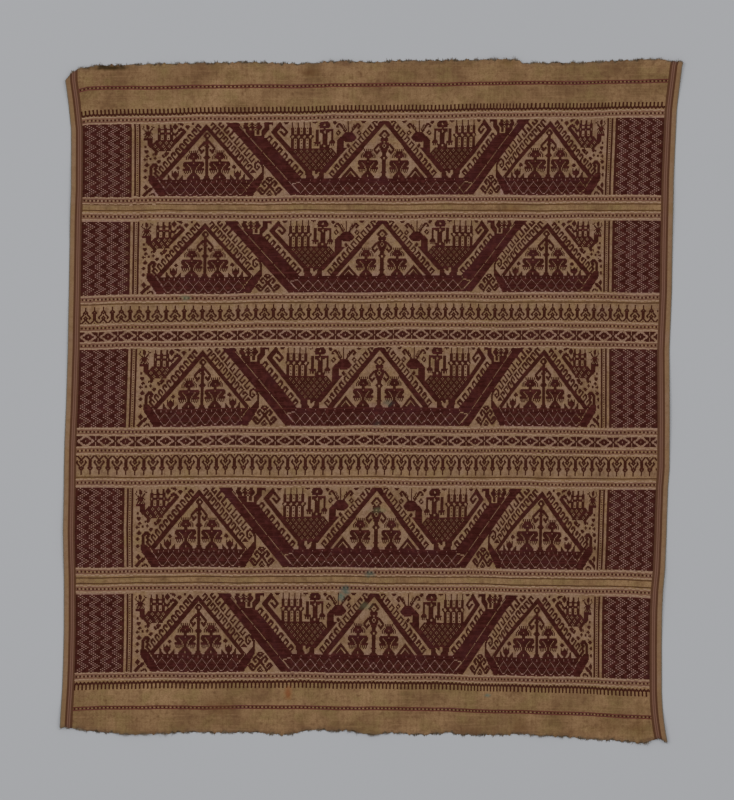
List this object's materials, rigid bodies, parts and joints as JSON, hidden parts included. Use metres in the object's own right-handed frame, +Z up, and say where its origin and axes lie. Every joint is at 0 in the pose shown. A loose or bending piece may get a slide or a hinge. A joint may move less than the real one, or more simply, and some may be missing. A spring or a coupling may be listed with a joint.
{
  "type": "patterned cotton cloth",
  "caption": "Flat hand-woven cotton cloth with bands of dark raised weft pattern, striped selvedges, plain ends and raw frayed edges, lying face up.",
  "frame": {"origin": "on the surface the cloth lies on, below the middle of its outline", "axes": "+Z up out of the patterned face, +Y towards the upper raw end, +X towards the right selvedge"},
  "size_m": [0.648, 0.7106, 0.0049],
  "materials": {
    "handspun_cotton": "matt hand-spun cotton, tan ground with dark maroon pattern weft"
  },
  "bodies": {
    "root": {"tampan_cloth": "handspun_cotton"}
  },
  "joints": []
}
